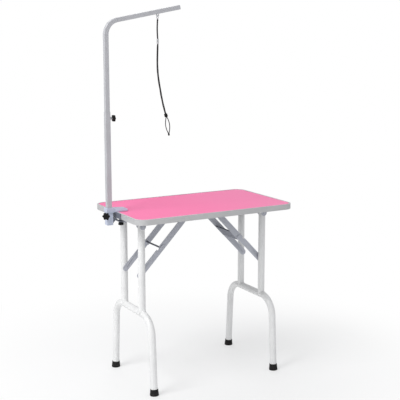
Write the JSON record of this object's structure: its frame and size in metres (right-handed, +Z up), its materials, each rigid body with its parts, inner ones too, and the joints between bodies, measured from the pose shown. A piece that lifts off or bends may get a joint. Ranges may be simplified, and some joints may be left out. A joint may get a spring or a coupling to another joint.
{
  "type": "folding grooming table",
  "caption": "Folding grooming table with a pink mat, white tube legs on folding braces, and a clamp-on telescoping overhead arm that carries a noose.",
  "frame": {"origin": "on the floor, under the middle of the tabletop", "axes": "+Z up, +X along the tabletop's length away from the overhead arm, +Y across it towards the back"},
  "size_m": [0.8815, 0.482, 1.7253],
  "materials": {
    "board": "dark laminate on board",
    "mat": "pink, fine pebbled grip",
    "trim": "satin anodised",
    "leg_paint": "gloss white powder coat",
    "brace_paint": "satin blue-grey zinc paint",
    "dark_paint": "satin dark grey",
    "clamp_paint": "satin light steel blue",
    "arm_paint": "satin grey",
    "steel": "zinc plated",
    "rubber": "matte black",
    "knob": "moulded black",
    "cord": "braided nylon"
  },
  "bodies": {
    "table": {"tabletop_board": "board", "top_mat": "mat", "edge_trim": "trim", "bracket_screws": "steel", "left_hinge_brackets": "brace_paint", "right_hinge_brackets": "brace_paint", "left_hinge_pins": "brace_paint", "right_hinge_pins": "brace_paint", "left_brace_brackets": "brace_paint", "right_brace_brackets": "brace_paint", "left_brace_pivots": "brace_paint", "right_brace_pivots": "brace_paint", "clamp_body": "clamp_paint", "clamp_back_plate": "dark_paint", "clamp_sleeve": "clamp_paint", "clamp_lower_jaw": "dark_paint", "post_lock_boss": "clamp_paint"},
    "left_leg": {"left_leg_frame": "leg_paint", "left_leg_rings": "leg_paint", "left_rubber_feet": "rubber"},
    "right_leg": {"right_leg_frame": "leg_paint", "right_leg_rings": "leg_paint", "right_rubber_feet": "rubber"},
    "left_upper_brace": {"left_upper_braces": "brace_paint", "left_knee_rivets": "brace_paint", "left_tie_rod": "dark_paint"},
    "right_upper_brace": {"right_upper_braces": "brace_paint", "right_knee_rivets": "brace_paint", "right_tie_plate": "dark_paint"},
    "left_lower_brace": {"left_lower_braces": "brace_paint", "left_leg_rivets": "brace_paint"},
    "right_lower_brace": {"right_lower_braces": "brace_paint", "right_leg_rivets": "brace_paint"},
    "clamp_foot": {"clamp_pad": "rubber"},
    "clamp_handscrew": {"clamp_screw": "steel", "clamp_screw_knob": "knob"},
    "post_lock": {"post_lock_screw": "steel", "post_lock_knob": "knob"},
    "post": {"lower_post": "arm_paint", "post_end_plug": "knob", "arm_lock_nut": "arm_paint"},
    "arm_lock": {"arm_lock_screw": "steel", "arm_lock_knob": "knob"},
    "arm": {"upper_arm": "arm_paint", "arm_end_plug": "arm_paint", "arm_eye": "steel"},
    "noose": {"noose_ring": "steel", "noose_hanger_cord": "cord", "noose_ferrule": "steel", "noose_cord": "cord", "noose_clasp": "knob"},
    "noose_lock": {"noose_slider": "knob"}
  },
  "joints": [
    {"name": "left_leg_fold", "type": "hinge", "parent": "table", "child": "left_leg", "pos_m": [-0.322, 0, 0.756], "axis": [0, -1, 0], "range_deg": [0, 86]},
    {"name": "left_upper_brace_fold", "type": "hinge", "parent": "table", "child": "left_upper_brace", "pos_m": [-0.08, 0, 0.775], "axis": [0, -1, 0], "range_deg": [-37.03, 0.01]},
    {"name": "left_knee_fold", "type": "hinge", "parent": "left_upper_brace", "child": "left_lower_brace", "pos_m": [-0.20539, 0, 0.64494], "axis": [0, -1, 0], "range_deg": [-0.01, 168.65]},
    {"name": "right_leg_fold", "type": "hinge", "parent": "table", "child": "right_leg", "pos_m": [0.322, 0, 0.756], "axis": [0, 1, 0], "range_deg": [0, 73]},
    {"name": "right_upper_brace_fold", "type": "hinge", "parent": "table", "child": "right_upper_brace", "pos_m": [0.08, 0, 0.775], "axis": [0, 1, 0], "range_deg": [-36.55, 0.01]},
    {"name": "right_knee_fold", "type": "hinge", "parent": "right_upper_brace", "child": "right_lower_brace", "pos_m": [0.20539, 0, 0.64494], "axis": [0, 1, 0], "range_deg": [-0.01, 150.67]},
    {"name": "clamp_foot_travel", "type": "slide", "parent": "table", "child": "clamp_foot", "axis": [0, 0, -1], "range_m": [-0.0001, 0.01135]},
    {"name": "clamp_screw_turn", "type": "hinge", "parent": "clamp_foot", "child": "clamp_handscrew", "pos_m": [-0.378, 0, 0.757], "axis": [0, 0, 1], "range_deg": [0, 3240]},
    {"name": "post_lock_turn", "type": "hinge", "parent": "table", "child": "post_lock", "pos_m": [-0.436, 0, 0.802], "axis": [-0.7071, -0.7071, 0], "range_deg": [0, 540]},
    {"name": "post_height", "type": "slide", "parent": "table", "child": "post", "axis": [0, 0, 1], "range_m": [-0.06, 0.01]},
    {"name": "arm_lock_turn", "type": "hinge", "parent": "post", "child": "arm_lock", "pos_m": [-0.436, 0, 1.233], "axis": [1, 0, 0], "range_deg": [0, 540]},
    {"name": "arm_extend", "type": "slide", "parent": "post", "child": "arm", "axis": [0, 0, 1], "range_m": [-0.25, 0.05]},
    {"name": "noose_swing", "type": "hinge", "parent": "arm", "child": "noose", "pos_m": [-0.1845, 0, 1.68], "axis": [0, 1, 0], "range_deg": [-25, 25]},
    {"name": "noose_lock_slide", "type": "slide", "parent": "noose", "child": "noose_lock", "axis": [-0.3156, 0, 0.9489], "range_m": [0, 0.015]}
  ],
  "couplings": [
    {"joint": "left_upper_brace_fold", "follows": "left_leg_fold", "ratio": -0.43049},
    {"joint": "left_knee_fold", "follows": "left_leg_fold", "ratio": 1.9609},
    {"joint": "right_upper_brace_fold", "follows": "right_leg_fold", "ratio": -0.50049},
    {"joint": "right_knee_fold", "follows": "right_leg_fold", "ratio": 2.0639},
    {"joint": "clamp_foot_travel", "follows": "clamp_screw_turn", "m_per_rad": 0.00019894}
  ]
}
